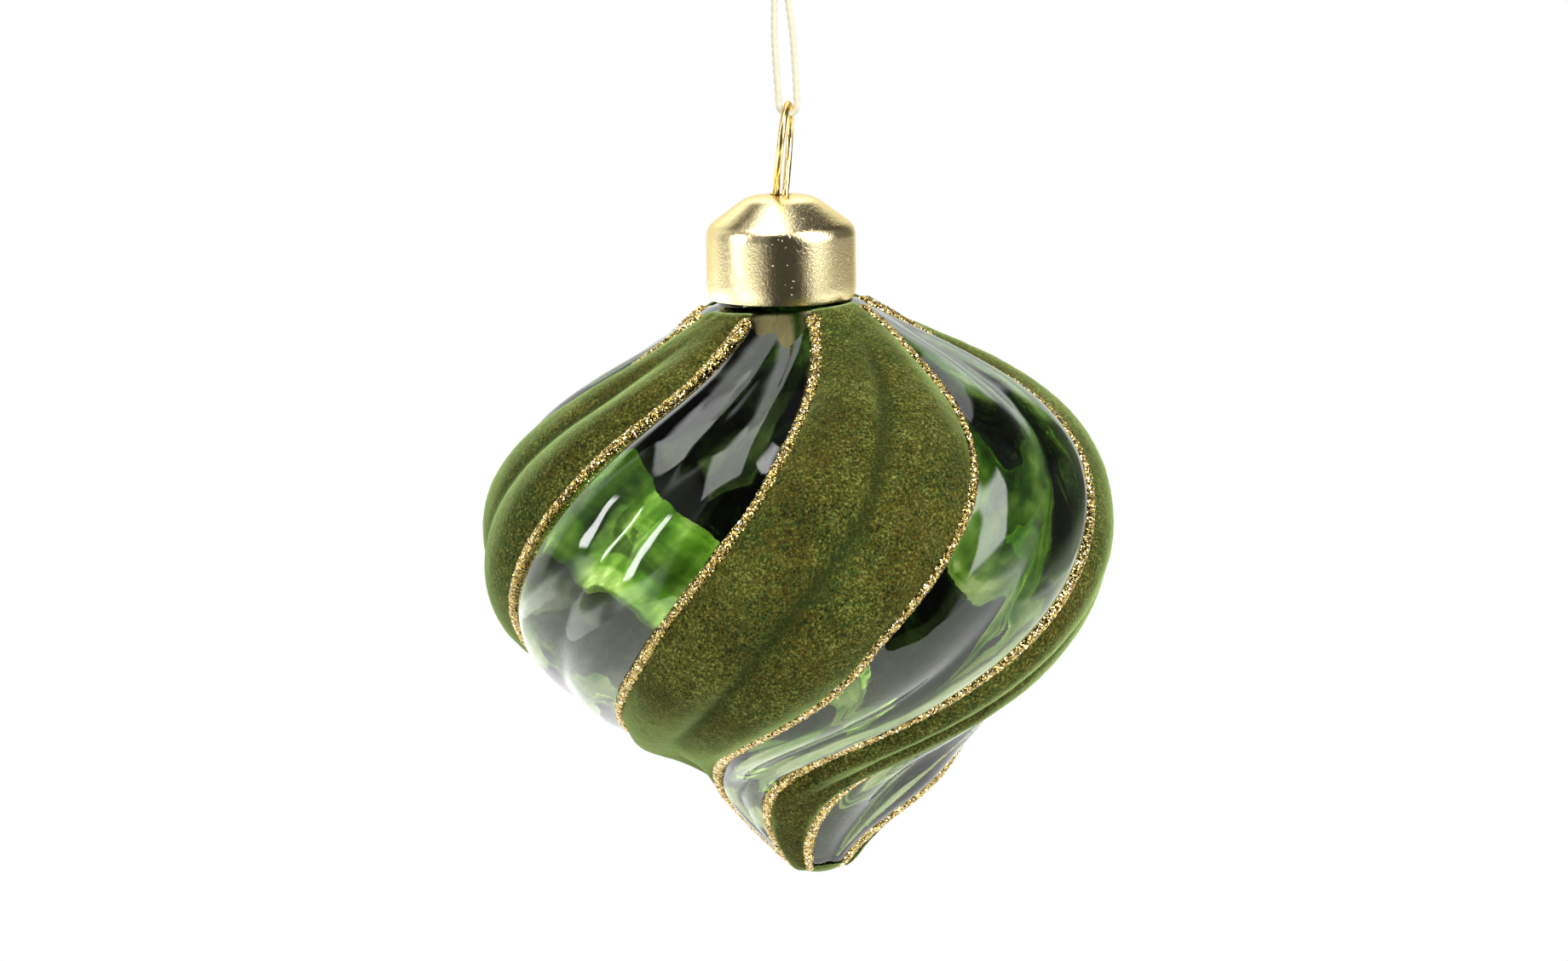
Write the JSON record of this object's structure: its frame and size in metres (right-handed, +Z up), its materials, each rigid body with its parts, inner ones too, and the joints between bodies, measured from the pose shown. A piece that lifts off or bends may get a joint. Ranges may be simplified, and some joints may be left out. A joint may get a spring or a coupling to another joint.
{
  "type": "hanging ornament",
  "caption": "Onion-shaped blown glass ornament with twisted flutes, flocked bands and glitter lines, hung by a metal cap, a sprung wire loop and a thread.",
  "frame": {"origin": "where the ornament hangs: inside the top of the thread loop, under its knot", "axes": "+Z up, along which it hangs; -Y faces the viewer of the picture, +X is the viewer's right"},
  "size_m": [0.0802, 0.0801, 0.1193],
  "materials": {
    "green_glass": "clear glossy bottle-green glass",
    "green_flock": "short velvet flock, moss green",
    "gold_glitter": "coarse gold glitter in clear glue",
    "satin_gold": "satin champagne gold",
    "polished_gold": "polished gold wire",
    "cream_thread": "twisted cream thread"
  },
  "bodies": {
    "thread": {"hanging_thread": "cream_thread", "thread_knot": "cream_thread"},
    "hanger": {"hanger_wire": "polished_gold"},
    "cap": {"cap": "satin_gold"},
    "bauble": {"glass_bauble": "green_glass", "flock_band_1": "green_flock", "flock_band_2": "green_flock", "flock_band_3": "green_flock", "flock_band_4": "green_flock", "flock_tip": "green_flock", "glitter_line_1": "gold_glitter", "glitter_line_2": "gold_glitter", "glitter_line_3": "gold_glitter", "glitter_line_4": "gold_glitter", "glitter_line_5": "gold_glitter", "glitter_line_6": "gold_glitter", "glitter_line_7": "gold_glitter", "glitter_line_8": "gold_glitter"}
  },
  "joints": [
    {"name": "loop_swing", "type": "hinge", "parent": "thread", "child": "hanger", "pos_m": [0, 0, -0.01615], "axis": [0.9905, -0.1374, 0], "range_deg": [-70, 70]},
    {"name": "cap_turn", "type": "hinge", "parent": "hanger", "child": "cap", "pos_m": [-0.00175, 0.00024, -0.02667], "axis": [0.0518, -0.0072, 0.9986], "continuous": true},
    {"name": "glass_pull", "type": "slide", "parent": "hanger", "child": "bauble", "axis": [0, 0, -1], "range_m": [0, 0.025]}
  ]
}
